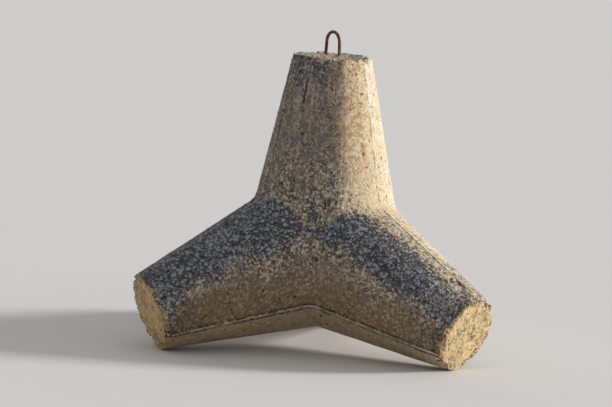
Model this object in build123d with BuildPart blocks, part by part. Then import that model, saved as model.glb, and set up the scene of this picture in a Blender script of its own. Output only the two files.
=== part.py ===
from build123d import *
from itertools import combinations, product
from math import acos, atan, cos, degrees, radians, sin, sqrt, tan
import os

# Concrete tetrapod: a breakwater armour unit of the 2 cubic metre class, with its lifting loop.
# The origin is where the axes of the four legs meet. One leg stands straight up along +Z,
# and the unit rests on the rims of the other three. Lengths are in millimetres, angles in degrees.

# Concrete body
leg_reach = 1315
end_diameter = 525
root_diameter = 940
valley_radius = 120
end_chamfer = 10
lower_leg_azimuths = (0, 120, 240)

# Ribs left where the four shells of the mould met
seam_width = 14
seam_height = 6

# Lifting loop of round bar, cast into the end of the upright leg, with legs that spread as they go down
bar_diameter = 22
crown_radius = 68
loop_height = 155
loop_depth = 700
loop_spread = 3
loop_azimuth = -14

# Four axes that all make the same angle with each other
leg_spread = degrees(acos(-1 / 3))
upright_axis = Vector(0, 0, 1)
lower_axes = [
    upright_axis.rotate(Axis.Y, leg_spread).rotate(Axis.Z, azimuth)
    for azimuth in lower_leg_azimuths
]
leg_axes = [upright_axis] + lower_axes

# The circles at the roots of two legs just touch, which places them along the axes
root_distance = root_diameter / 2 / sqrt(2)
taper = (root_diameter - end_diameter) / 2 / (leg_reach - root_distance)
centre_radius = root_diameter / 2 + taper * root_distance

# Any two legs are alike, so one pair is drawn in a plane of its own and then set in six places.
# Its two axes lie in that plane on each side of +X, and the other two legs stand across it.
half_spread = radians(leg_spread / 2)
pair_planes = [
    Plane(origin=(0, 0, 0), x_dir=first_axis + second_axis, z_dir=first_axis.cross(second_axis))
    for first_axis, second_axis in combinations(leg_axes, 2)
]
pair_axes = [Vector(cos(half_spread), side * sin(half_spread), 0) for side in (-1, 1)]
other_axes = [Vector(-cos(half_spread), 0, side * sin(half_spread)) for side in (-1, 1)]

# Away from its middle the valley opens out, and past the reach of the pair it would turn into a ridge.
# It is cut off between the two, at an angle that is measured from its middle.
valley_fade = acos(sqrt(3) * sin(atan(taper)))
valley_end = (half_spread + valley_fade) / 2
clear_of_legs = leg_reach + end_diameter


def join_pair(growth):
    """Two tapered legs and the rounded valley between them, with their sides moved outwards by growth."""
    side_growth = growth / cos(atan(taper))
    with BuildPart() as pair:
        for axis in pair_axes:
            with Locations(Plane(origin=(0, 0, 0), x_dir=(0, 0, 1), z_dir=axis)):
                Cone(
                    bottom_radius=centre_radius + side_growth,
                    top_radius=end_diameter / 2 + side_growth,
                    height=leg_reach,
                    align=(Align.CENTER, Align.CENTER, Align.MIN),
                )
        with BuildSketch(Plane.XZ):
            Polygon(
                (0, 0),
                (clear_of_legs, -clear_of_legs * tan(valley_end)),
                (clear_of_legs, clear_of_legs * tan(valley_end)),
                align=None,
            )
        extrude(amount=clear_of_legs, both=True, mode=Mode.INTERSECT)
        valley = pair.edges().filter_by(GeomType.BSPLINE)
        fillet(valley, radius=valley_radius - growth)
        flat_faces = pair.faces().filter_by(GeomType.PLANE).sort_by(Axis.Y)
        chamfer(flat_faces[0].edges() + flat_faces[-1].edges(), length=end_chamfer)
    return pair.part


# A sixth of the unit: what lies nearer to this pair of legs than to the other two
with BuildPart() as sixth:
    add(join_pair(0))
    for near_axis, far_axis in product(pair_axes, other_axes):
        split(bisect_by=Plane(origin=(0, 0, 0), z_dir=near_axis - far_axis), keep=Keep.TOP)

# Each shell of the mould covered the space between three legs, so its joints ran from leg to leg
seam_reach = leg_reach - end_chamfer
with BuildPart() as seam:
    with BuildSketch(Plane.XY):
        Polygon(
            (0, 0),
            (seam_reach * cos(half_spread), -seam_reach * sin(half_spread)),
            (seam_reach / cos(half_spread), 0),
            (seam_reach * cos(half_spread), seam_reach * sin(half_spread)),
            align=None,
        )
    extrude(amount=seam_width / 2, both=True)
    add(join_pair(seam_height), mode=Mode.INTERSECT)

# The loop stands on the end face of the upright leg, and its long straight legs are buried in the concrete
turn = radians(loop_azimuth)
loop_plane = Plane(
    origin=(0, 0, leg_reach),
    x_dir=(cos(turn), sin(turn), 0),
    z_dir=(sin(turn), -cos(turn), 0),
)
lean = radians(loop_spread)
crown_centre = loop_height - bar_diameter / 2 - crown_radius
bend_offset = crown_radius * cos(lean)
bend_level = crown_centre + crown_radius * sin(lean)
foot_offset = bend_offset + (bend_level + loop_depth) * tan(lean)
with BuildPart() as loop:
    with BuildLine(loop_plane) as bar_path:
        first_leg = Line((-foot_offset, -loop_depth), (-bend_offset, bend_level))
        crown = JernArc(first_leg @ 1, first_leg % 1, crown_radius, 2 * loop_spread - 180)
        Line(crown @ 1, (foot_offset, -loop_depth))
    with BuildSketch(Plane(origin=bar_path.line @ 0, z_dir=bar_path.line % 0)):
        Circle(bar_diameter / 2)
    sweep(path=bar_path.line)
loop.part.label = "lifting_loop"

with BuildPart() as concrete:
    with Locations(pair_planes):
        add(sixth.part)
        add(seam.part)
    add(loop.part, mode=Mode.SUBTRACT)
concrete.part.label = "concrete_body"

os.makedirs("parts", exist_ok=True)
export_step(concrete.part, "parts/concrete_body.step")
export_step(loop.part, "parts/lifting_loop.step")
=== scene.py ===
from itertools import combinations
from math import acos, cos, pi, radians, sin, tan

import bpy
from mathutils import Matrix, Quaternion, Vector


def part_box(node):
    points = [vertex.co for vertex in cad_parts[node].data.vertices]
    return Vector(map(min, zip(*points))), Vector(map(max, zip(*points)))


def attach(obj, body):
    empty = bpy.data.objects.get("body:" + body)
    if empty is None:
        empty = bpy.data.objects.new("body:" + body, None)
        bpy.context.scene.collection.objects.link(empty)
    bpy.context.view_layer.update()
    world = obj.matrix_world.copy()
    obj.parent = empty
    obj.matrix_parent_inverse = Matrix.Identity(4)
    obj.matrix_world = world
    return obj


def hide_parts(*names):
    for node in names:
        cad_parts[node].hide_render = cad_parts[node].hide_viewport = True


bl_info = {
    "name": "Concrete tetrapod",
    "version": (1, 0, 0),
    "blender": (4, 5, 0),
    "location": "3D Viewport > Sidebar > Tetrapod",
    "description": "Weathers and lights a cast concrete tetrapod with a rusted lifting loop",
    "category": "Object",
}

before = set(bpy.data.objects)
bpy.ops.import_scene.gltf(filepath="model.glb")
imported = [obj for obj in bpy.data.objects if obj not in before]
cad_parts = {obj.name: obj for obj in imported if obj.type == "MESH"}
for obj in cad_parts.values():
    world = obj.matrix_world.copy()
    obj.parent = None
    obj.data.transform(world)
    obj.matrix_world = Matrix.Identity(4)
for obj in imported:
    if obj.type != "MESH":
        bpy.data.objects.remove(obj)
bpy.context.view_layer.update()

BODY_NODE = "concrete_body"
LOOP_NODE = "lifting_loop"
BODY_LOW, BODY_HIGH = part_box(BODY_NODE)
FLOOR_LEVEL = BODY_LOW.z
LEG_REACH = BODY_HIGH.z
LOOP_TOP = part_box(LOOP_NODE)[1].z

# The four leg axes make equal angles with each other, and one of them points straight up
LEG_SPREAD = acos(-1 / 3)
UPRIGHT = Vector((0, 0, 1))
LOWER_LEGS = [
    Vector((sin(LEG_SPREAD) * cos(azimuth), sin(LEG_SPREAD) * sin(azimuth), cos(LEG_SPREAD)))
    for azimuth in (0, radians(120), radians(240))
]
LEG_AXES = [UPRIGHT] + LOWER_LEGS

# The bare stones round each leg are one piece, in the order of the axes
STONE_PIECES = ("stones_upright", "stones_front", "stones_rear", "stones_left")

# The side that the sun lit: towards it the colours are painted lighter, partly bleaching and partly
# painted light, and away from it darker, painted shade
SUNNY_SIDE = Vector((0.61, 0.765, 0.21))

# The side of the upright leg that the loop's rust has run down
STAINED_SIDE = Vector((cos(radians(-30)), sin(radians(-30)), 0))

# Attributes: the way the surface faced before it was worn, and how pale each stone is
CALM_NORMAL = "calm_normal"
STONE_TONE = "tone"

# Points of a mesh that are nearer to each other than this are one point
MERGE_DISTANCE = 0.00005


class BodySizes(bpy.types.PropertyGroup):
    """Sizes of the concrete and of its wear."""

    end_radius: bpy.props.FloatProperty(
        name="End radius", description="Radius of a leg at its end", default=0.2625, unit="LENGTH")
    taper: bpy.props.FloatProperty(
        name="Taper", description="How much a leg's radius grows for each metre towards the middle",
        default=0.2112)
    voxel: bpy.props.FloatProperty(
        name="Voxel", description="Grain of the mesh that the wear is cut into", default=0.0065,
        unit="LENGTH")
    triangles: bpy.props.IntProperty(
        name="Triangles", description="Most triangles that the weathered body keeps", default=196000)
    skin_loss: bpy.props.FloatProperty(
        name="Skin loss", description="Depth of cement skin that the weather has taken", default=0.0035,
        unit="LENGTH")
    chip_depth: bpy.props.FloatProperty(
        name="Chip depth", description="Depth of the chips along the ends of the legs", default=0.026,
        unit="LENGTH")
    pit_depth: bpy.props.FloatProperty(
        name="Pit depth", description="Depth of the air holes in the surface", default=0.009,
        unit="LENGTH")
    spall_depth: bpy.props.FloatProperty(
        name="Spall depth", description="Depth of the broken patch on the front leg", default=0.016,
        unit="LENGTH")


class StoneSizes(bpy.types.PropertyGroup):
    """Sizes of the stones that show in the concrete."""

    small: bpy.props.FloatProperty(
        name="Smallest", description="Width of the smallest stones that show", default=0.008,
        unit="LENGTH")
    large: bpy.props.FloatProperty(
        name="Largest", description="Width of the largest common stones", default=0.019, unit="LENGTH")
    density: bpy.props.FloatProperty(
        name="Density", description="Stones in each square metre of worn surface", default=4200)
    sunk: bpy.props.FloatProperty(
        name="Sunk", description="Share of a stone's half width that stays in the paste", default=0.45,
        subtype="FACTOR")


class LoopSizes(bpy.types.PropertyGroup):
    """Sizes of the lifting loop."""

    bar_radius: bpy.props.FloatProperty(
        name="Bar radius", description="Half the thickness of the bar", default=0.011, unit="LENGTH")
    crown_radius: bpy.props.FloatProperty(
        name="Crown radius", description="Radius of the bend, to the middle of the bar", default=0.068,
        unit="LENGTH")
    lean: bpy.props.FloatProperty(
        name="Lean", description="How far each leg of the loop spreads as it goes down",
        default=radians(3), subtype="ANGLE")
    azimuth: bpy.props.FloatProperty(
        name="Turn", description="Turn of the loop about the upright leg", default=radians(-14),
        subtype="ANGLE")
    root_depth: bpy.props.FloatProperty(
        name="Root depth", description="How far the modelled bar goes into the concrete", default=0.05,
        unit="LENGTH")


class Colours(bpy.types.PropertyGroup):
    """Colours of the concrete, its stones, its dirt and the rust, with painted light and painted shade
    among them.
    """

    paste: bpy.props.FloatVectorProperty(
        name="Paste", description="Cement paste on the flanks", subtype="COLOR",
        default=(0.29, 0.232, 0.176))
    # Golden paste on the lit side: partly bleached paste, partly painted sunlight; it also makes pale
    # streaks and a painted bounce-lit strip
    sunlit_paste: bpy.props.FloatVectorProperty(
        name="Bleached paste", description="Golden paste on the side that the sun bleaches",
        subtype="COLOR", default=(0.82, 0.65, 0.40))
    laitance: bpy.props.FloatVectorProperty(
        name="Laitance", description="Pale cement skin that is still in place", subtype="COLOR",
        default=(0.82, 0.74, 0.57))
    shade: bpy.props.FloatVectorProperty(
        name="Grey paste", description="Greyer paste on the sides that dry slowly", subtype="COLOR",
        default=(0.168, 0.144, 0.131))
    # Bluish near black on what faces the sky but not the sun: part dirt, part painted shade
    dirt_and_shade: bpy.props.FloatVectorProperty(
        name="Dirt", description="Dark film on surfaces that face the sky", subtype="COLOR",
        default=(0.040, 0.048, 0.066))
    # Brown paste, also in crumbs on the broken ends; low on the legs it partly stands in for warm light
    # bounced from the ground, painted light
    brown_and_bounce: bpy.props.FloatVectorProperty(
        name="Brown paste", description="Smoother brown paste low on the legs", subtype="COLOR",
        default=(0.216, 0.133, 0.064))
    # Sandy mortar on the broken ends, painted brighter and more golden than it is: part its own colour,
    # part painted sunlight
    sunlit_sand: bpy.props.FloatVectorProperty(
        name="Broken face", description="Sandy mortar on the ends of the legs", subtype="COLOR",
        default=(0.92, 0.65, 0.29))
    ochre: bpy.props.FloatVectorProperty(
        name="Stain", description="Iron stain that has run down from the loop", subtype="COLOR",
        default=(0.48, 0.26, 0.10))
    # Near black for painted shade: in holes, in the open joint, between lumps and beside the ribs
    painted_shade: bpy.props.FloatVectorProperty(
        name="Pit", description="The dark bottom of a hole", subtype="COLOR",
        default=(0.035, 0.028, 0.022))
    stone_dark: bpy.props.FloatVectorProperty(
        name="Dark stone", description="The darkest stones", subtype="COLOR",
        default=(0.05, 0.047, 0.047))
    stone_pale: bpy.props.FloatVectorProperty(
        name="Pale stone", description="The palest stones", subtype="COLOR",
        default=(0.70, 0.59, 0.43))
    # Bluish grey for the palest stones under the dark band: part dirt film, part painted shade
    stone_film_and_shade: bpy.props.FloatVectorProperty(
        name="Filmed stone", description="The palest stones where the dark film lies", subtype="COLOR",
        default=(0.41, 0.43, 0.465))
    rust: bpy.props.FloatVectorProperty(
        name="Rust", description="Dark scale on the bar", subtype="COLOR",
        default=(0.040, 0.022, 0.016))
    rust_bright: bpy.props.FloatVectorProperty(
        name="Bright rust", description="Fresh orange rust", subtype="COLOR",
        default=(0.50, 0.18, 0.055))
    floor: bpy.props.FloatVectorProperty(
        name="Floor", description="The plain floor", subtype="COLOR", default=(0.80, 0.79, 0.77))


class StageSizes(bpy.types.PropertyGroup):
    """Where the camera and the light stand."""

    azimuth: bpy.props.FloatProperty(
        name="Azimuth", description="Turn of the camera about the unit", default=radians(37.5),
        subtype="ANGLE")
    elevation: bpy.props.FloatProperty(
        name="Elevation", description="Height of the camera as an angle", default=radians(7.5),
        subtype="ANGLE")
    roll: bpy.props.FloatProperty(
        name="Roll", description="Turn of the camera about its own axis", default=radians(2.9),
        subtype="ANGLE")
    distance: bpy.props.FloatProperty(
        name="Distance", description="From the camera to the unit", default=26.35, unit="LENGTH")
    lens: bpy.props.FloatProperty(
        name="Lens", description="Focal length in millimetres on a 36 mm sensor", default=229)
    aside: bpy.props.FloatProperty(
        name="Aside", description="The view's middle, to the right of the unit's origin",
        default=-0.128, unit="LENGTH")
    above: bpy.props.FloatProperty(
        name="Above", description="The view's middle, above the unit's origin", default=0.285,
        unit="LENGTH")
    key_strength: bpy.props.FloatProperty(
        name="Key", description="Strength of the main light", default=3.8)
    key_softness: bpy.props.FloatProperty(
        name="Softness", description="Apparent width of the main light", default=radians(11),
        subtype="ANGLE")
    key_bearing: bpy.props.FloatProperty(
        name="Key bearing", description="Main light, turned to the right from the camera",
        default=radians(98), subtype="ANGLE")
    key_height: bpy.props.FloatProperty(
        name="Key height", description="Height of the main light as an angle", default=radians(16),
        subtype="ANGLE")
    fill: bpy.props.FloatProperty(
        name="Fill", description="Light that comes evenly from all round", default=0.42)


class Socket:
    """A node's output. A sum with it adds the node that works the sum out."""

    def __init__(self, tree, output):
        self.tree = tree
        self.output = output

    def __add__(self, other):
        return self.tree.math("ADD", self, other)

    def __sub__(self, other):
        return self.tree.math("SUBTRACT", self, other)

    def __rsub__(self, other):
        return self.tree.math("SUBTRACT", other, self)

    def __mul__(self, other):
        return self.tree.math("MULTIPLY", self, other)

    def __truediv__(self, other):
        return self.tree.math("DIVIDE", self, other)

    def __rtruediv__(self, other):
        return self.tree.math("DIVIDE", other, self)

    def __abs__(self):
        return self.tree.math("ABSOLUTE", self)

    def __gt__(self, other):
        return self.tree.math("GREATER_THAN", self, other)

    __radd__ = __add__
    __rmul__ = __mul__


class Tree:
    """A node tree that is written as Python expressions, for a material or for geometry."""

    def __init__(self, nodes_of):
        self.tree = nodes_of
        self.tree.nodes.clear()

    def add(self, kind, settings=None, inputs=None, output=0):
        """Adds a node of the given kind, sets it, fills its sockets and returns one of its outputs.

        A node that has no output is returned itself.
        """
        node = self.tree.nodes.new(kind)
        for name, value in (settings or {}).items():
            setattr(node, name, value)
        for name, value in (inputs or {}).items():
            if isinstance(value, Socket):
                self.tree.links.new(value.output, node.inputs[name])
            elif value is not None:
                node.inputs[name].default_value = value
        return Socket(self, node.outputs[output]) if len(node.outputs) else node

    def beside(self, socket, output):
        """Another output of the node that a socket belongs to."""
        return Socket(self, socket.output.node.outputs[output])

    def math(self, operation, first, second=None):
        """Sums with numbers."""
        return self.add("ShaderNodeMath", {"operation": operation}, {0: first, 1: second})

    def vector(self, operation, first, second=None, output=0):
        """Sums with vectors."""
        return self.add("ShaderNodeVectorMath", {"operation": operation}, {0: first, 1: second}, output)

    def dot(self, first, second):
        """How far the first vector reaches along the second, which is a fixed direction."""
        return self.vector("DOT_PRODUCT", first, tuple(second), "Value")

    def scale(self, vector, factors):
        """The vector with each of its parts times its own factor."""
        return self.vector("MULTIPLY", vector, factors)

    def lengthen(self, vector, factor):
        """The vector times one number, which may be a link."""
        return self.add("ShaderNodeVectorMath", {"operation": "SCALE"}, {0: vector, "Scale": factor})

    def largest(self, values):
        """The largest of some numbers, of which the first is a link."""
        result = values[0]
        for value in values[1:]:
            result = self.math("MAXIMUM", result, value)
        return result

    def step(self, value, low, high, start=0.0, end=1.0):
        """Goes smoothly from start to end while the value goes from low to high."""
        return self.add(
            "ShaderNodeMapRange", {"interpolation_type": "SMOOTHSTEP"},
            {"Value": value, "From Min": low, "From Max": high, "To Min": start, "To Max": end})

    def opaque(self, colour):
        """A written colour gets its alpha, and a link stays as it is."""
        return colour if isinstance(colour, Socket) else (*colour[:3], 1.0)

    def mix(self, share, first, second):
        """Goes from the first colour to the second."""
        colours = {0: share, 6: self.opaque(first), 7: self.opaque(second)}
        return self.add("ShaderNodeMix", {"data_type": "RGBA"}, colours, 2)

    def coats(self, colour, coats):
        """Lays coats over a colour in turn, each given as its share and its own colour."""
        for share, coat in coats:
            colour = self.mix(share, colour, coat)
        return colour

    def noise(self, place, scale, detail=2.0, roughness=0.5, offset=None):
        """Soft noise from 0 to 1, whose lumps are about 1 / scale across."""
        if offset is not None:
            place = self.vector("ADD", place, offset)
        return self.add(
            "ShaderNodeTexNoise", {"noise_dimensions": "3D"},
            {"Vector": place, "Scale": scale, "Detail": detail, "Roughness": roughness}, 0)

    def cells(self, place, scale):
        """How far the nearest cell's middle is, as a share of a cell, and that cell's chance number."""
        gap = self.add(
            "ShaderNodeTexVoronoi", {"voronoi_dimensions": "3D", "feature": "F1"},
            {"Vector": place, "Scale": scale}, "Distance")
        return gap, self.add("ShaderNodeSeparateXYZ", None, {0: self.beside(gap, "Color")}, 0)

    def bump(self, height, strength):
        """A normal that is bent as the height, in metres, would bend it."""
        return self.add(
            "ShaderNodeBump", None, {"Strength": strength, "Distance": 1.0, "Height": height})

    def close_material(self, inputs):
        """Gives the sockets of the surface shader their values and ends the material with it."""
        surface = self.add("ShaderNodeBsdfPrincipled", None, inputs)
        self.add("ShaderNodeOutputMaterial", None, {"Surface": surface})


def height_above_floor(tree, place):
    """How high a place is above the floor."""
    return tree.dot(place, UPRIGHT) - FLOOR_LEVEL


def leg_distance(tree, place):
    """How far out along the nearest leg a place is."""
    return tree.largest([tree.dot(place, axis) for axis in LEG_AXES])


def rim_distance(tree, place, sizes):
    """How far a place on the surface is from the edge round the end of its leg."""
    along = leg_distance(tree, place)
    length = tree.vector("LENGTH", place, output="Value")
    radial = tree.math("SQRT", tree.largest([length * length - along * along, 0.0]))
    inward = LEG_REACH - along
    across = sizes.end_radius + inward * sizes.taper - radial
    return tree.math("SQRT", inward * inward + across * across)


def seam_mask(tree, place, width):
    """1 on the lines where the shells of the mould met, and 0 beyond the given width."""
    lines = []
    for first, second in combinations(LEG_AXES, 2):
        aside = abs(tree.dot(place, first.cross(second).normalized()))
        on_first = tree.dot(place, second + first / 3) > 0.0
        on_second = tree.dot(place, first + second / 3) > 0.0
        lines.append(tree.step(aside, 0.0, width, 1.0, 0.0) * on_first * on_second)
    return tree.largest(lines)


# The broken patch near the end of the leg that points to the front
SPALL_CENTRE = Vector((1.17, -0.15, -0.14))
SPALL_RADIUS = 0.15
SPALL_RAGGED = 0.22


def spall_mask(tree, place):
    """1 where the skin has broken away near the end of the front leg, with a ragged edge."""
    gap = tree.vector("DISTANCE", place, tuple(SPALL_CENTRE), "Value")
    ragged = gap + (tree.noise(place, 16, 3.0, 0.65) - 0.5) * SPALL_RAGGED
    return tree.step(ragged, SPALL_RADIUS, SPALL_RADIUS * 0.8)


# An open joint between two pours, high on one side of the upright leg, between two heights
CRACK_SIDE = Vector((cos(radians(-86)), sin(radians(-86)), 0))
CRACK_LOW = 0.98
CRACK_HIGH = 1.17
CRACK_FADE = 0.03

# How far the joint wanders, how rough its edges are, and how far from its middle they end and begin
CRACK_SWAY = 0.06
CRACK_RAGGED = 0.008
CRACK_OUTSIDE = 0.017
CRACK_INSIDE = 0.009

# The joint's side of the leg is what lies further out than this
CRACK_OUTWARDS = 0.1


def crack_mask(tree, place):
    """1 on the line of the open joint, which wanders as it goes down."""
    rise = tree.dot(place, UPRIGHT)
    sway = (tree.noise(tree.scale(place, (0, 0, 1)), 9, 2.0) - 0.5) * CRACK_SWAY
    aside = abs(tree.dot(place, UPRIGHT.cross(CRACK_SIDE)) - sway)
    lower_end = tree.step(rise, CRACK_LOW, CRACK_LOW + CRACK_FADE)
    upper_end = tree.step(rise, CRACK_HIGH, CRACK_HIGH - CRACK_FADE)
    ragged = aside + tree.noise(place, 45, 2.0) * CRACK_RAGGED
    line = tree.step(ragged, CRACK_OUTSIDE, CRACK_INSIDE) * (lower_end * upper_end)
    return line * (tree.dot(place, CRACK_SIDE) > CRACK_OUTWARDS)


# Cells to a metre that may hold an air hole, and the chance numbers between which they come to hold one
PIT_CELLS = 9.5
PIT_CHANCE = (0.45, 0.5)
PINHOLE_CELLS = 24
PINHOLE_CHANCE = (0.62, 0.66)


def air_holes(tree, place, scale, chance, bottom, edge):
    """1 at the bottom of the air holes and 0 past their edges, which are given as shares of a cell."""
    gap, pick = tree.cells(place, scale)
    return tree.step(gap, bottom, edge, 1.0, 0.0) * tree.step(pick, *chance)


def select_only(piece):
    """Selects one piece, makes it the active one and deselects all others."""
    bpy.ops.object.select_all(action="DESELECT")
    piece.select_set(True)
    bpy.context.view_layer.objects.active = piece


def apply_modifier(piece, kind, settings):
    """Adds a modifier of the given kind to the piece, sets it and applies it."""
    select_only(piece)
    bpy.ops.object.modifier_add(type=kind)
    modifier = piece.modifiers[-1]
    for name, value in settings.items():
        setattr(modifier, name, value)
    result = bpy.ops.object.modifier_apply(modifier=modifier.name)
    if result != {"FINISHED"}:
        raise RuntimeError(f"{kind} was not applied to {piece.name}")


def merge_doubles():
    """Selects the whole mesh in edit mode and makes one point of those that lie on each other."""
    bpy.ops.mesh.select_all(action="SELECT")
    bpy.ops.mesh.remove_doubles(threshold=MERGE_DISTANCE)


def new_geometry_tree(name):
    """An empty geometry tree with one geometry input and one geometry output."""
    group = bpy.data.node_groups.new(name, "GeometryNodeTree")
    group.interface.new_socket("Geometry", in_out="INPUT", socket_type="NodeSocketGeometry")
    group.interface.new_socket("Geometry", in_out="OUTPUT", socket_type="NodeSocketGeometry")
    return group, Tree(group)


def new_material(name):
    """A material with an empty tree of nodes."""
    material = bpy.data.materials.new(name)
    material.use_nodes = True
    return material, Tree(material.node_tree)


def dress(piece, material):
    """Gives a piece one material in place of those that it has."""
    piece.data.materials.clear()
    piece.data.materials.append(material)


# How deep each kind of wear goes that no size of the body gives
GRIT_DEPTH = 0.0045
END_GRIT_DEPTH = 0.014
POUR_DEPTH = 0.016
BITE_DEPTH = 0.014
SEAM_DEPTH = 0.006
CRACK_DEPTH = 0.012

# How far to each side of a seam it wears, how far in from a rim it is chipped and bitten,
# and up to what height above the floor the wear fades out
WORN_SEAM_WIDTH = 0.018
NARROW_CHIP = 0.008
WIDE_CHIP = 0.070
BITE_WIDTH = 0.040
SPARED_FOOT = 0.03

# How far short of a leg's reach its end face begins, and how far short of it the face is whole
END_BEGINS = 0.012
END_WHOLE = 0.006


def wear_tree(sizes):
    """Geometry nodes that push the surface inwards where the concrete has worn, chipped or broken."""
    group, tree = new_geometry_tree("Wear")
    start = tree.add("NodeGroupInput")
    place = tree.add("GeometryNodeInputPosition")
    normal = tree.add("GeometryNodeInputNormal")
    facing = tree.dot(normal, UPRIGHT)
    along = leg_distance(tree, place)
    rim = rim_distance(tree, place, sizes)
    on_end = tree.step(along, LEG_REACH - END_BEGINS, LEG_REACH - END_WHOLE)
    on_top = on_end * tree.step(facing, 0.5, 0.8)

    skin = tree.noise(place, 3.2, 2.0) * sizes.skin_loss
    bare = tree.step(tree.noise(place, 2.6, 1.0, offset=(4, 7, 1)), 0.35, 0.65)
    grit = tree.noise(place, 38, 3.0, 0.6) * bare * GRIT_DEPTH
    end_grit = tree.noise(place, 26, 3.0, 0.65) * on_end * END_GRIT_DEPTH
    pour = tree.noise(place, 9, 3.0, 0.6, offset=(1, 5, 9)) * on_top * POUR_DEPTH
    pits = air_holes(tree, place, PIT_CELLS, PIT_CHANCE, 0.07, 0.15) * sizes.pit_depth

    chip_noise = tree.noise(place, 12, 3.0, 0.62, offset=(3, 1, 2))
    chip_width = tree.step(chip_noise, 0.42, 0.62, NARROW_CHIP, WIDE_CHIP)
    chipped = tree.step(chip_noise, 0.44, 0.58, 0.15, 1.0)
    chips = tree.step(rim / chip_width, 1.0, 0.2) * chipped * sizes.chip_depth
    bites = tree.step(tree.noise(place, 30, 3.0, 0.6), 0.46, 0.56)
    bitten = tree.step(rim, BITE_WIDTH, BITE_WIDTH / 4) * bites * BITE_DEPTH

    seam = seam_mask(tree, place, WORN_SEAM_WIDTH)
    snapped = tree.noise(place, 7, 2.0, offset=(8, 2, 6)) + tree.step(facing, 0.35, 0.75) * 0.2
    broken_seam = seam * tree.step(snapped, 0.46, 0.56) * SEAM_DEPTH

    broken = spall_mask(tree, place)
    spall = broken * (0.3 + tree.noise(place, 32, 3.0, 0.7) * 1.4) * sizes.spall_depth
    crack = crack_mask(tree, place) * CRACK_DEPTH

    depth = skin + grit + end_grit + pour + pits + chips + bitten + broken_seam + spall + crack
    depth = depth * tree.step(height_above_floor(tree, place), 0.0, SPARED_FOOT)
    marked = tree.add(
        "GeometryNodeStoreNamedAttribute", {"data_type": "FLOAT_VECTOR", "domain": "POINT"},
        {"Geometry": start, "Name": CALM_NORMAL, "Value": normal})
    moved = tree.add("GeometryNodeSetPosition", None, {
        "Geometry": marked, "Offset": tree.lengthen(normal, depth * -1.0)})
    tree.add("NodeGroupOutput", None, {"Geometry": moved})
    return group


# How far short of a leg's reach the colour of its end face begins and is whole,
# and how far the rounding of its rim reaches in and down
WORN_END_BEGINS = 0.034
WORN_END_WHOLE = 0.022
ROUNDING_WIDTH = 0.05
ROUNDING_DEPTH = 0.022


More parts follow.
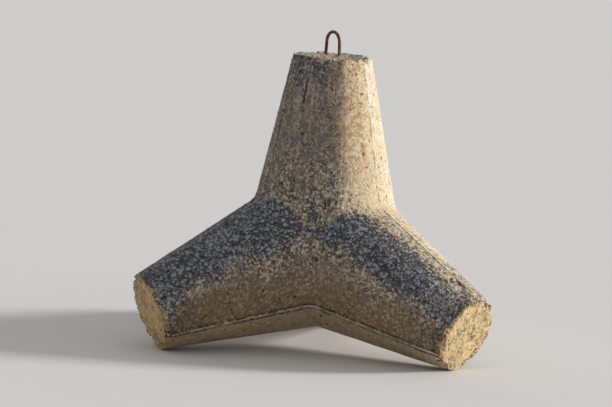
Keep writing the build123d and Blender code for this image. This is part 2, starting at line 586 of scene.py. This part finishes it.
class Weather:
    """What the weather has done to a place on the concrete, and where light and shade are painted on it.

    Which way it faces is told before any wear: facing is 1 towards the sky and -1 towards the ground.
    The noises run from -0.5 to 0.5, and the masks from 0 to 1.
    """

    def __init__(self, tree, place, sizes):
        self.tree = tree
        self.place = place
        self.calm = tree.add("ShaderNodeAttribute", {"attribute_name": CALM_NORMAL}, None, "Vector")
        self.facing = tree.dot(self.calm, UPRIGHT)
        self.sunny = tree.dot(self.calm, SUNNY_SIDE)
        self.shine = tree.largest([self.sunny, 0.0])
        self.height = height_above_floor(tree, place)
        self.along = leg_distance(tree, place)
        self.broad = tree.noise(place, 1.7, 3.0, 0.55) - 0.5
        self.patch = tree.noise(place, 5.5, 5.0, 0.62, offset=(2, 8, 4)) - 0.5
        self.crumbs = tree.noise(place, 24, 3.0, 0.6) - 0.5
        self.streak = tree.noise(tree.scale(place, (1, 1, 0.09)), 15, 4.0, 0.65) - 0.5
        self.on_end = self.end_mask(sizes)
        self.grime_and_shade = self.grime_and_shade_mask()

    def end_mask(self, sizes):
        """1 on the broken faces at the ends of the legs, with a ragged edge."""
        tree = self.tree
        rim = rim_distance(tree, self.place, sizes)
        rounded = tree.step(rim, ROUNDING_WIDTH, 0.0) * ROUNDING_DEPTH
        ragged = self.along + self.patch * 0.14 + self.crumbs * 0.09 - rounded
        return tree.step(ragged, LEG_REACH - WORN_END_BEGINS, LEG_REACH - WORN_END_WHOLE)

    def grime_and_shade_mask(self):
        """1 under the bluish dark film, part dirt and part painted shade, which lies on what faces the
        sky but not the sun, and drips down.
        """
        tree = self.tree
        drips = tree.step(self.streak, -0.02, 0.16) * tree.step(self.facing, 0.6, 0.1) * 0.16
        grime_and_shade = self.facing - self.shine * 1.8 + self.patch * 0.55 + self.broad * 0.35
        grime_and_shade = grime_and_shade + self.crumbs * 0.35 + drips + tree.step(self.along, 1.0, 1.3) * 0.18
        return tree.step(grime_and_shade, 0.26, 0.50) * (1.0 - self.on_end)

    def stain(self):
        """1 where rust has run down one side of the upright leg, painted fainter on the side away from
        the sun as painted shade.
        """
        tree = self.tree
        round_leg = tree.vector("NORMALIZE", tree.scale(self.place, (1, 1, 0)))
        on_side = tree.step(tree.dot(round_leg, STAINED_SIDE), 0.88, 0.97)
        ragged = self.streak * 0.5 + self.patch * 0.6 + self.crumbs * 1.2
        stain = on_side * tree.step(self.height, 0.90, 1.60) * tree.step(ragged, -0.10, 0.10)
        return stain * tree.step(self.sunny, -0.20, 0.08, 0.25, 1.0)

    def paste(self, colours):
        """The colour of the paste, as coats that lie on each other from the oldest to the last; some
        coats are painted light and painted shade.
        """
        tree = self.tree
        facing, sunny, on_end = self.facing, self.sunny, self.on_end
        broad, patch, crumbs, streak = self.broad, self.patch, self.crumbs, self.streak
        thin = tree.noise(tree.scale(self.place, (1, 1, 0.05)), 48, 3.0, 0.6) - 0.5

        # The side towards the sun painted golden: painted light, partly real bleaching
        bleached_and_lit = tree.step(sunny + patch * 0.5 + streak * 0.5, -0.06, 0.18)
        # Pale cement skin in streaks, laid mostly towards the sun: part laitance, part painted light
        pale_skin_and_light = tree.step(sunny * 0.5 + streak * 1.2 + broad * 0.8, 0.32, 0.58)
        flank = tree.step(sunny, 0.10, -0.25) * tree.step(abs(facing), 0.75, 0.35)
        # Low faces that do not look up are painted brown: part smoother brown paste, part painted warm
        # bounce light from the ground
        low = tree.step(self.height, 0.78, 0.35) * tree.step(facing, 0.30, -0.05)
        # Dark drips near the ends of the legs, only on the side away from the sun: part dirt, part
        # painted shade
        shaded_end_drips = tree.step(self.along, 0.95, 1.22) * tree.step(sunny, 0.25, -0.05)
        shaded_end_drips = shaded_end_drips * tree.step(facing, -0.75, -0.45)

        blotched = tree.mix(tree.step(broad + patch, -0.12, 0.20), colours.shade, colours.paste)
        return tree.coats(blotched, [
            (bleached_and_lit * 0.9, colours.sunlit_paste),
            (pale_skin_and_light * 0.85, colours.laitance),
            (flank * tree.step(streak + patch * 0.3, -0.04, 0.10) * 0.70, colours.shade),
            (flank * tree.step(streak + broad * 0.3, 0.04, 0.16) * 0.50, colours.dirt_and_shade),
            (flank * tree.step(streak, -0.06, -0.20) * 0.30, colours.sunlit_paste),
            (flank * tree.step(thin, 0.02, 0.12) * 0.50, colours.shade),
            (flank * tree.step(thin, -0.03, -0.14) * 0.28, colours.sunlit_paste),
            (low * tree.step(streak, -0.22, 0.10, 0.65, 1.0), colours.brown_and_bounce),
            # Faces turned towards the ground painted lighter: painted bounce light from the ground
            (tree.step(facing + patch * 0.1, -0.54, -0.62) * 0.30, colours.sunlit_paste),
            # The dark bluish band away from the sun: part dirt film, part painted shade
            (self.grime_and_shade * 0.95, colours.dirt_and_shade),
            (shaded_end_drips * tree.step(streak + crumbs * 0.8, -0.10, 0.14) * 0.72, colours.dirt_and_shade),
            # Broken end faces: sandy mortar, painted bright and golden as painted sunlight
            (on_end * tree.step(patch + crumbs * 0.6, -0.22, 0.20, 0.98, 0.45), colours.sunlit_sand),
            (on_end * tree.step(crumbs, 0.05, 0.15) * 0.50, colours.brown_and_bounce),
            (on_end * tree.step(facing, 0.4, 0.7) * 0.8, colours.laitance),
            (self.stain() * 0.80, colours.ochre),
        ])

    def worn(self):
        """How far the paste is worn down to its stones."""
        tree = self.tree
        sheltered = self.shine * tree.step(self.along, 1.15, 0.80, 0.40, 1.15)
        worn = self.patch * 1.1 + self.broad * 0.8 + self.facing * 0.65 - sheltered
        worn = worn - tree.step(self.height, 1.1, 1.7) * 0.26
        worn = worn + tree.step(self.along, 0.85, 1.20) * tree.step(self.facing, 0.1, 0.5) * 0.28
        worn = tree.step(worn, -0.22, 0.33, 0.24, 1.0)
        worn_end = self.on_end * tree.step(self.patch, -0.15, 0.15, 0.15, 0.55)
        return tree.largest([worn, worn_end, self.grime_and_shade])

    def film_and_shade(self):
        """How much of the dark film, part dirt and part painted shade, lies on the stones, of which the
        sun leaves less.
        """
        return self.grime_and_shade * self.tree.step(self.sunny, 0.30, -0.05, 0.25, 1.0)

    def underside(self):
        """Nearly 1 on what faces away from both the sky and the sun."""
        return self.tree.step(self.tree.dot(self.calm, UPRIGHT + SUNNY_SIDE), 0.35, -0.05, 0.0, 0.95)


# Grains that show in the paste: how many to a metre, how strong in colour, and how high they stand
GRAINS = ((150, 0.75, 0.0012), (33, 0.80, 0.0050), (56, 1.0, 0.0030))
GRAIN_BEND = 0.012


def grains(tree, place, colour, worn, dark, pale):
    """Sand and stones that show in the paste, at three sizes. Gives the colour and the relief."""
    wander = tree.add(
        "ShaderNodeTexNoise", {"noise_dimensions": "3D"}, {"Vector": place, "Scale": 60, "Detail": 2.0},
        "Color")
    bent = tree.vector("ADD", place, tree.scale(wander, (GRAIN_BEND,) * 3))
    relief = 0.0
    for scale, share, rise in GRAINS:
        gap, pick = tree.cells(bent, scale)
        grain = tree.step(gap, 0.64, 0.38) * tree.step(abs(pick - 0.5), 0.05, 0.24)
        tone = tree.mix(tree.step(pick, 0.20, 0.80), dark, pale)
        colour = tree.mix(grain * worn * share, colour, tone)
        relief = relief + grain * worn * rise
    return colour, relief


# How far to each side of a seam its colour and its painted shadow show, and the heights that bend the
# light on the surface
STAINED_SEAM_WIDTH = 0.036
LUMP_HEIGHT = 0.0085
PINHOLE_DEPTH = 0.005
MOTTLE_HEIGHT = 0.002
FLAKE_HEIGHT = 0.0012


def weathered_concrete(colours, sizes):
    """Worn cast concrete: blotched paste, sand and stones, holes painted dark with shade, the lines of
    the mould, and painted light and shade.
    """
    material, tree = new_material("weathered_concrete")
    place = tree.add("ShaderNodeTexCoord", None, None, "Object")
    weather = Weather(tree, place, sizes)
    worn = weather.worn()
    film_and_shade = weather.film_and_shade()
    pale = tree.mix(film_and_shade, colours.stone_pale, colours.stone_film_and_shade)

    seam = seam_mask(tree, place, STAINED_SEAM_WIDTH) * (1.0 - weather.on_end)
    rib = tree.step(seam, 0.78, 0.92)
    # Painted shadow of the seam rib: a broken dark line beside it on the faces turned from sky and sun
    rib_shadow_breakup = tree.step(tree.noise(place, 8, 3.0, 0.6), 0.30, 0.55, 0.35, 1.0)
    rib_shadow = tree.step(seam, 0.03, 0.30) * (1.0 - rib) * rib_shadow_breakup
    broken = spall_mask(tree, place)
    colour = tree.coats(weather.paste(colours), [
        (rib_shadow * weather.underside(), colours.painted_shade),
        (broken * 0.45, colours.laitance),
    ])
    shown = tree.largest([worn, broken * 1.1])
    colour, relief = grains(tree, place, colour, shown, colours.stone_dark, pale)

    rib_skin = tree.step(tree.noise(place, 14, 3.0, 0.6), 0.38, 0.62, 0.0, 0.42)
    pinholes = air_holes(tree, place, PINHOLE_CELLS, PINHOLE_CHANCE, 0.10, 0.22)
    pits = air_holes(tree, place, PIT_CELLS, PIT_CHANCE, 0.09, 0.15)
    lumps = tree.noise(place, 55, 5.0, 0.70)
    # Where the paste is worn: painted shade in the hollows between lumps and a painted highlight on
    # their tops
    shadow = tree.step(lumps, 0.50, 0.32)
    lump_highlight = tree.step(lumps, 0.54, 0.70) * (1.0 - film_and_shade * 0.5)
    colour = tree.coats(colour, [
        (rib * rib_skin, colours.laitance),
        # Holes painted dark: painted shade in them
        (tree.largest([pinholes, pits]) * 0.9, colours.painted_shade),
        (shadow * 0.80 * worn, colours.painted_shade),
        (lump_highlight * 0.35 * worn, pale),
        # The open joint painted dark: painted shade in it
        (crack_mask(tree, place) * 0.85, colours.painted_shade),
    ])
    relief = relief + lumps * LUMP_HEIGHT - pinholes * PINHOLE_DEPTH
    tree.close_material({
        "Base Color": colour, "Roughness": tree.step(weather.streak, -0.2, 0.3, 0.95, 0.82),
        "Normal": tree.bump(relief, 1.0), "Specular IOR Level": 0.3})
    return material


def bare_stone(colours, sizes):
    """Stones of the aggregate, each with its own tone, dusted with the paste around them, and greyed
    blue where the dark film and painted shade lie.
    """
    material, tree = new_material("bare_aggregate")
    place = tree.add("ShaderNodeTexCoord", None, None, "Object")
    weather = Weather(tree, place, sizes)
    tone = tree.add("ShaderNodeAttribute", {"attribute_name": STONE_TONE}, None, "Fac")
    pale = tree.mix(weather.film_and_shade() * 0.7, colours.stone_pale, colours.stone_film_and_shade)
    stone = tree.mix(tree.step(tone, 0.10, 1.0), colours.stone_dark, pale)
    mottle = tree.noise(place, 240, 3.0, 0.65)
    dusted = tree.step(mottle - weather.worn() * 0.15, 0.20, 0.65, 0.20, 0.75)
    tree.close_material({
        "Base Color": tree.mix(dusted, stone, weather.paste(colours)),
        "Roughness": tree.step(mottle, 0.2, 0.8, 0.75, 0.92),
        "Normal": tree.bump(mottle * MOTTLE_HEIGHT, 0.8), "Specular IOR Level": 0.35})
    return material


def rusted_steel(colours):
    """Round bar under dark scale, with orange rust where the scale has come off."""
    material, tree = new_material("rusted_steel")
    place = tree.add("ShaderNodeTexCoord", None, None, "Object")
    flake = tree.noise(place, 120, 4.0, 0.65)
    run = tree.noise(tree.scale(place, (1, 1, 0.35)), 48, 3.0, 0.6, offset=(5, 3, 1))
    bright = tree.step(flake * 0.4 + run * 0.7, 0.52, 0.68)
    tree.close_material({
        "Base Color": tree.mix(bright, colours.rust, colours.rust_bright),
        "Roughness": tree.step(flake, 0.3, 0.7, 0.62, 0.92),
        "Metallic": tree.step(flake, 0.55, 0.35, 0.25, 0.0),
        "Normal": tree.bump(flake * FLAKE_HEIGHT, 0.8)})
    return material


class TETRAPOD_OT_body(bpy.types.Operator):
    """Weathers a copy of the cast body, with its chips, pits, broken patch and worn seams"""

    bl_idname = "tetrapod.body"
    bl_label = "Weathered body"

    def execute(self, context):
        sizes = context.scene.tetrapod_body
        select_only(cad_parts[BODY_NODE])
        bpy.ops.object.duplicate()
        body = context.object
        body.name = "weathered_body"
        for mark in [key for key in body.keys() if key.startswith("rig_")]:
            del body[mark]
        body.parent = None
        bpy.ops.object.mode_set(mode="EDIT")
        merge_doubles()
        bpy.ops.object.mode_set(mode="OBJECT")
        voxel = sizes.voxel
        apply_modifier(body, "REMESH", {"mode": "VOXEL", "voxel_size": voxel})
        apply_modifier(body, "NODES", {"node_group": wear_tree(sizes)})
        share = sizes.triangles / (2 * len(body.data.polygons))
        if share < 1:
            apply_modifier(body, "DECIMATE", {"ratio": share})
        select_only(body)
        bpy.ops.object.shade_smooth()
        dress(body, weathered_concrete(context.scene.tetrapod_colours, sizes))
        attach(body, "root")
        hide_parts(BODY_NODE)
        return {"FINISHED"}


# Each leg's stones are drawn by chance with seeds of their own
FIRST_SEED = 3
SEEDS_APART = 10

# Shapes of a stone, as shares of its width, from the flattest to the fullest
FLAT_STONE = (0.7, 0.7, 0.55)
FULL_STONE = (1.25, 1.15, 0.9)


def chance_number(tree, seed):
    """A number between 0 and 1 for each stone."""
    return tree.add("FunctionNodeRandomValue", {"data_type": "FLOAT"}, {2: 0.0, 3: 1.0, "Seed": seed}, 1)


def chance_vector(tree, low, high, seed):
    """A vector between low and high for each stone."""
    return tree.add(
        "FunctionNodeRandomValue", {"data_type": "FLOAT_VECTOR"}, {0: low, 1: high, "Seed": seed}, 0)


def sowing_density(tree, place, axis, sizes):
    """How many stones a square metre of the body gets round one leg, and none round the others."""
    others = [other for other in LEG_AXES if other is not axis]
    here = tree.dot(place, axis) - tree.largest([tree.dot(place, other) for other in others])
    calm = tree.add(
        "GeometryNodeInputNamedAttribute", {"data_type": "FLOAT_VECTOR"}, {"Name": CALM_NORMAL})
    aspect = tree.dot(calm, UPRIGHT * 0.10 - SUNNY_SIDE * 0.22)
    bare = tree.noise(place, 4.5, 3.0, 0.6, offset=(7, 3, 5)) + aspect
    upper = tree.step(tree.dot(calm, UPRIGHT), -0.15, 0.20, 0.15, 1.0)
    clear = height_above_floor(tree, place) > SPARED_FOOT
    return (here > 0.0) * clear * upper * tree.step(bare, 0.32, 0.62, 0.18, 1.0) * sizes.density


def stone_tree(body, axis, sizes, seed):
    """Geometry nodes that sow copies of one stone over the part of the body round one leg."""
    group, tree = new_geometry_tree("Stones")
    stone = tree.add("NodeGroupInput")
    ground = tree.add(
        "GeometryNodeObjectInfo", {"transform_space": "ORIGINAL"}, {"Object": body}, "Geometry")
    place = tree.add("GeometryNodeInputPosition")
    density = sowing_density(tree, place, axis, sizes)
    sown = tree.add(
        "GeometryNodeDistributePointsOnFaces", {"distribute_method": "RANDOM"},
        {"Mesh": ground, "Density": density, "Seed": seed}, "Points")
    size = chance_number(tree, seed + 1)
    width = sizes.small + (sizes.large - sizes.small) * size * size
    lift = tree.lengthen(tree.beside(sown, "Normal"), width * (0.5 * -sizes.sunk))
    sunk = tree.add("GeometryNodeSetPosition", None, {"Geometry": sown, "Offset": lift})
    shape = chance_vector(tree, FLAT_STONE, FULL_STONE, seed + 2)
    turn = chance_vector(tree, (0.0, 0.0, 0.0), (pi, pi, 2 * pi), seed + 3)
    placed = tree.add("GeometryNodeInstanceOnPoints", None, {
        "Points": sunk, "Instance": stone, "Rotation": turn, "Scale": tree.lengthen(shape, width)})
    toned = tree.add(
        "GeometryNodeStoreNamedAttribute", {"data_type": "FLOAT", "domain": "INSTANCE"},
        {"Geometry": placed, "Name": STONE_TONE, "Value": chance_number(tree, seed + 4)})
    real = tree.add("GeometryNodeRealizeInstances", None, {"Geometry": toned})
    tree.add("NodeGroupOutput", None, {"Geometry": real})
    return group


class TETRAPOD_OT_stones(bpy.types.Operator):
    """Sows the bare stones of the aggregate over the worn body, one piece for each leg"""

    bl_idname = "tetrapod.stones"
    bl_label = "Bare stones"

    def execute(self, context):
        sizes = context.scene.tetrapod_stones
        body = bpy.data.objects["weathered_body"]
        material = bare_stone(context.scene.tetrapod_colours, context.scene.tetrapod_body)
        for number, axis in enumerate(LEG_AXES):
            seed = SEEDS_APART * number + FIRST_SEED
            bpy.ops.object.select_all(action="DESELECT")
            bpy.ops.mesh.primitive_ico_sphere_add(subdivisions=1, radius=0.5)
            stones = context.object
            stones.name = STONE_PIECES[number]
            apply_modifier(stones, "NODES", {"node_group": stone_tree(body, axis, sizes, seed)})
            dress(stones, material)
            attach(stones, "root")
        return {"FINISHED"}


# Into how many parts the bar's round, each of its straight legs and its bend are cut
BAR_SIDES = 20
LEG_PARTS = 12
BEND_PARTS = 40


def extrude_leg(way):
    """Extrudes the selected end of the bar along one straight leg of the loop."""
    for _ in range(LEG_PARTS):
        bpy.ops.mesh.extrude_region_move(TRANSFORM_OT_translate={"value": way / LEG_PARTS})


class TETRAPOD_OT_loop(bpy.types.Operator):
    """Bends a rusted bar into the lifting loop"""

    bl_idname = "tetrapod.loop"
    bl_label = "Lifting loop"

    def execute(self, context):
        sizes = context.scene.tetrapod_loop
        spread = sizes.crown_radius * cos(sizes.lean)
        crown_level = LOOP_TOP - sizes.bar_radius - sizes.crown_radius
        bend_level = crown_level + sizes.crown_radius * sin(sizes.lean)
        foot_level = LEG_REACH - sizes.root_depth
        foot = spread + (bend_level - foot_level) * tan(sizes.lean)
        bpy.ops.object.select_all(action="DESELECT")
        bpy.ops.mesh.primitive_circle_add(
            vertices=BAR_SIDES, radius=sizes.bar_radius, fill_type="NGON",
            location=(-foot, 0, foot_level), rotation=(0, sizes.lean, 0))
        loop = context.object
        loop.name = "rusted_loop"
        bpy.ops.object.transform_apply(location=True, rotation=True, scale=True)
        bpy.ops.object.mode_set(mode="EDIT")
        bpy.ops.mesh.select_all(action="SELECT")
        extrude_leg(Vector((foot - spread, 0, bend_level - foot_level)))
        bpy.ops.mesh.spin(
            steps=BEND_PARTS, angle=pi - 2 * sizes.lean, center=(0, 0, crown_level), axis=(0, -1, 0),
            dupli=False)
        extrude_leg(Vector((foot - spread, 0, foot_level - bend_level)))
        merge_doubles()
        bpy.ops.mesh.normals_make_consistent(inside=False)
        bpy.ops.object.mode_set(mode="OBJECT")
        loop.data.transform(Matrix.Rotation(sizes.azimuth, 4, "Z"))
        select_only(loop)
        bpy.ops.object.shade_smooth()
        dress(loop, rusted_steel(context.scene.tetrapod_colours))
        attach(loop, "root")
        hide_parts(LOOP_NODE)
        return {"FINISHED"}


# The floor is a disc that is wide enough to fill the camera's view
FLOOR_RADIUS = 90
FLOOR_CORNERS = 96
FAR_CLIP = 300
SENSOR_WIDTH = 36
LAMP_DISTANCE = 10
BACKDROP = (0.80, 0.80, 0.80, 1)


def direction(bearing, height):
    """Away from the unit's origin, turned by a bearing from straight in front and raised by a height."""
    return Vector((sin(bearing) * cos(height), -cos(bearing) * cos(height), sin(height)))


def lay_floor(context):
    """Lays the plain floor under the unit's feet."""
    bpy.ops.object.select_all(action="DESELECT")
    bpy.ops.mesh.primitive_circle_add(
        vertices=FLOOR_CORNERS, radius=FLOOR_RADIUS, fill_type="NGON", location=(0, 0, FLOOR_LEVEL))
    floor = context.object
    floor.name = "floor"
    material, tree = new_material("plain_floor")
    tree.close_material({
        "Base Color": (*context.scene.tetrapod_colours.floor, 1), "Roughness": 0.9,
        "Specular IOR Level": 0.1})
    dress(floor, material)


def set_camera(context, sizes):
    """Stands the camera where the photograph was taken from."""
    back = direction(sizes.azimuth, sizes.elevation)
    right = Vector((cos(sizes.azimuth), sin(sizes.azimuth), 0))
    up = back.cross(right)
    aim = right * sizes.aside + up * sizes.above
    turn = back.to_track_quat("Z", "Y") @ Quaternion((0, 0, 1), sizes.roll)
    bpy.ops.object.camera_add(location=aim + back * sizes.distance, rotation=turn.to_euler())
    camera = context.object
    camera.data.lens = sizes.lens
    camera.data.sensor_width = SENSOR_WIDTH
    camera.data.clip_end = FAR_CLIP
    context.scene.camera = camera


def hang_lamp(context, sizes):
    """Hangs the main light, which is low and to the camera's right."""
    towards = direction(sizes.azimuth + sizes.key_bearing, sizes.key_height)
    bpy.ops.object.light_add(
        type="SUN", location=towards * LAMP_DISTANCE,
        rotation=towards.to_track_quat("Z", "Y").to_euler())
    key = context.object
    key.name = "key_light"
    key.data.energy = sizes.key_strength
    key.data.angle = sizes.key_softness


def fill_world(context, sizes):
    """Lights the unit evenly from all round, and shows a plain backdrop to the camera and in gloss."""
    world = context.scene.world or bpy.data.worlds.new("World")
    context.scene.world = world
    world.use_nodes = True
    tree = Tree(world.node_tree)
    seen = tree.add("ShaderNodeLightPath", None, None, "Is Camera Ray")
    glossy = tree.beside(seen, "Is Glossy Ray")
    clear = tree.beside(seen, "Is Transmission Ray")
    light = tree.add("ShaderNodeBackground", None, {"Color": (1, 1, 1, 1), "Strength": sizes.fill})
    backdrop = tree.add("ShaderNodeBackground", None, {"Color": BACKDROP, "Strength": 1.0})
    mixed = tree.add("ShaderNodeMixShader", None, {
        0: tree.largest([seen, glossy, clear]), 1: light, 2: backdrop})
    tree.add("ShaderNodeOutputWorld", None, {"Surface": mixed})


class TETRAPOD_OT_stage(bpy.types.Operator):
    """Adds the floor, the light and the camera"""

    bl_idname = "tetrapod.stage"
    bl_label = "Stage"

    def execute(self, context):
        sizes = context.scene.tetrapod_stage
        lay_floor(context)
        set_camera(context, sizes)
        hang_lamp(context, sizes)
        fill_world(context, sizes)
        context.scene.view_settings.view_transform = "Standard"
        return {"FINISHED"}


class TETRAPOD_PT_panel(bpy.types.Panel):
    """Lists the steps that dress the tetrapod, and the sizes and colours that they use"""

    bl_idname = "TETRAPOD_PT_panel"
    bl_label = "Concrete tetrapod"
    bl_space_type = "VIEW_3D"
    bl_region_type = "UI"
    bl_category = "Tetrapod"

    def draw(self, context):
        for step in OPERATORS:
            self.layout.operator(step.bl_idname)
        for name in GROUPS:
            group = getattr(context.scene, name)
            box = self.layout.box()
            for size in group.__annotations__:
                box.prop(group, size)


OPERATORS = (TETRAPOD_OT_body, TETRAPOD_OT_stones, TETRAPOD_OT_loop, TETRAPOD_OT_stage)
GROUPS = {
    "tetrapod_body": BodySizes,
    "tetrapod_stones": StoneSizes,
    "tetrapod_loop": LoopSizes,
    "tetrapod_colours": Colours,
    "tetrapod_stage": StageSizes,
}


def register():
    """Adds the classes and the scene's settings to Blender."""
    for group in GROUPS.values():
        bpy.utils.register_class(group)
    for step in OPERATORS:
        bpy.utils.register_class(step)
    bpy.utils.register_class(TETRAPOD_PT_panel)
    for name, group in GROUPS.items():
        setattr(bpy.types.Scene, name, bpy.props.PointerProperty(type=group))


def unregister():
    """Takes the settings and the classes out again."""
    for name in GROUPS:
        delattr(bpy.types.Scene, name)
    bpy.utils.unregister_class(TETRAPOD_PT_panel)
    for step in reversed(OPERATORS):
        bpy.utils.unregister_class(step)
    for group in GROUPS.values():
        bpy.utils.unregister_class(group)


def main():
    """Dresses the tetrapod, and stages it."""
    register()
    bpy.ops.tetrapod.body()
    bpy.ops.tetrapod.stones()
    bpy.ops.tetrapod.loop()
    bpy.ops.tetrapod.stage()


if __name__ == "__main__":
    main()
